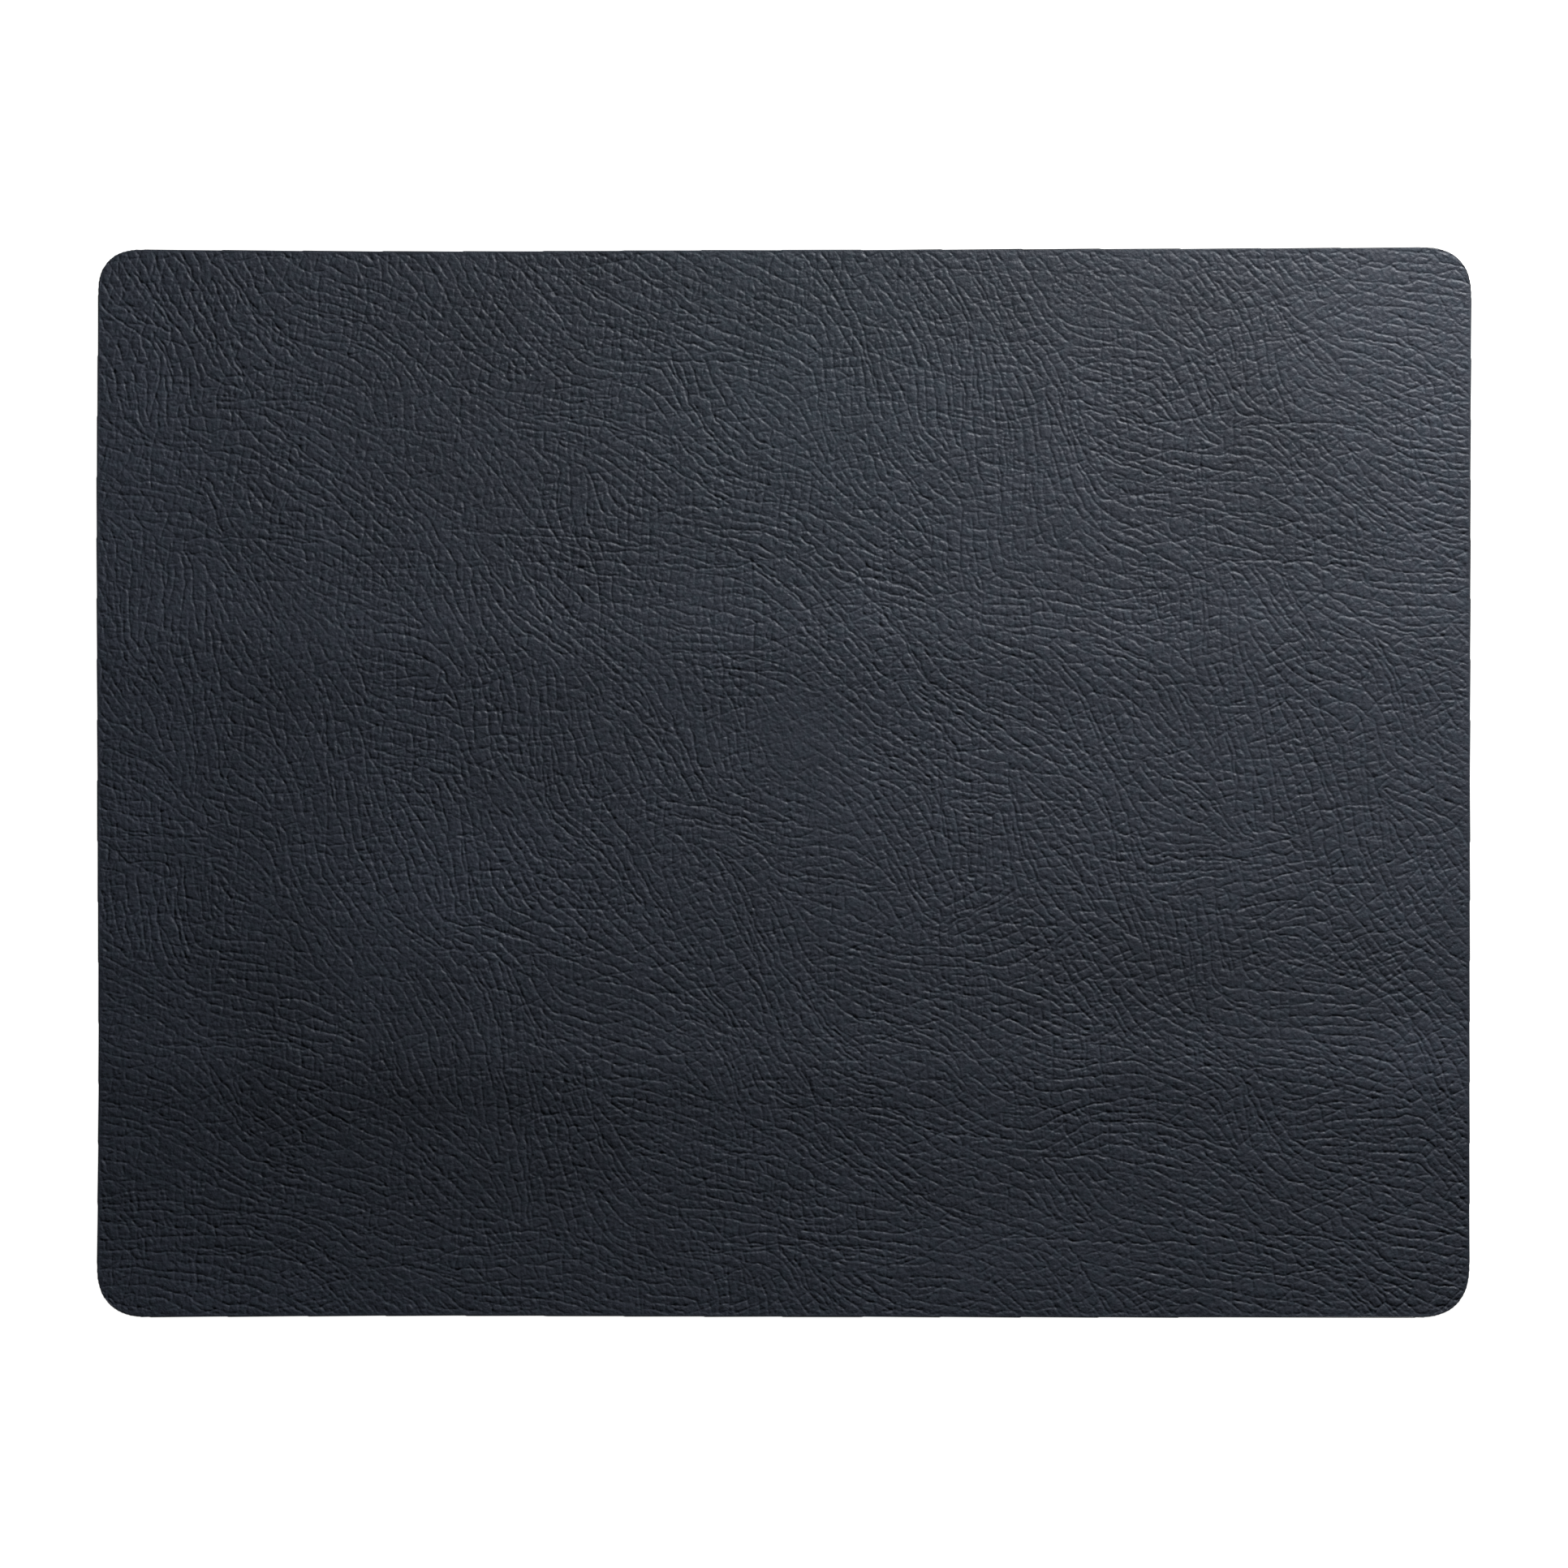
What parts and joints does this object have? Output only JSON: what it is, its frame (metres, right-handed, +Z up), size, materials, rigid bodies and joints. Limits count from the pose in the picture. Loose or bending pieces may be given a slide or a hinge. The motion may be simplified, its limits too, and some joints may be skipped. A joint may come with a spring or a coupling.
{
  "type": "desk mat",
  "caption": "Thin rectangular desk mat with rounded corners, an embossed wrinkle-grain leather face, a stiffening core, a napped non-slip underside and sealed edges.",
  "frame": {"origin": "on the underside, in the middle of the mat", "axes": "+X along the long side, +Y along the short side, +Z up through the thickness out of the leather face"},
  "size_m": [0.4506, 0.3508, 0.0022],
  "materials": {
    "leather": "embossed wrinkle grain, satin",
    "adhesive": "dried contact adhesive",
    "fibre_board": "bonded leather-fibre board",
    "microfibre": "fine nap, matt",
    "edge_paint": "flexible edge paint, semi-gloss"
  },
  "bodies": {
    "root": {"leather_face": "leather", "face_adhesive": "adhesive", "fibre_core": "fibre_board", "backing_adhesive": "adhesive", "nonslip_backing": "microfibre", "edge_paint": "edge_paint"}
  },
  "joints": []
}
